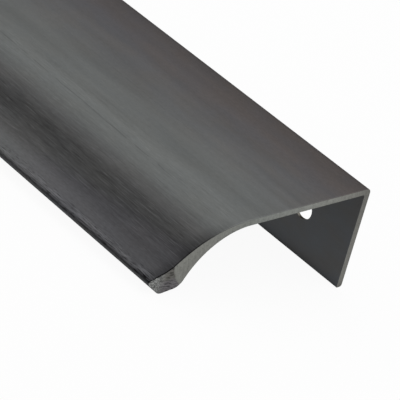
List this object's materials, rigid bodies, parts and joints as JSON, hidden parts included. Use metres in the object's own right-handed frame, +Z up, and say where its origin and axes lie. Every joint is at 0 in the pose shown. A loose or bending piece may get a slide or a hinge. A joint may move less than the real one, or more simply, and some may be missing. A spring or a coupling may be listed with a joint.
{
  "type": "furniture edge pull handle",
  "caption": "Straight extruded furniture edge pull: flat plate with a flange turned down behind, countersunk screw holes, and an S-curved grip flaring into a thick lip.",
  "frame": {"origin": "on the floor, in the middle of the handle's length and depth", "axes": "+X along the length, towards the end that the picture shows; the lip points to -Y and the flange is at +Y; +Z up"},
  "size_m": [0.185, 0.0516, 0.0208],
  "materials": {
    "dark_anodised_aluminium": "brushed along the length, dark grey anodised, satin"
  },
  "bodies": {
    "root": {"handle_profile": "dark_anodised_aluminium"}
  },
  "joints": []
}
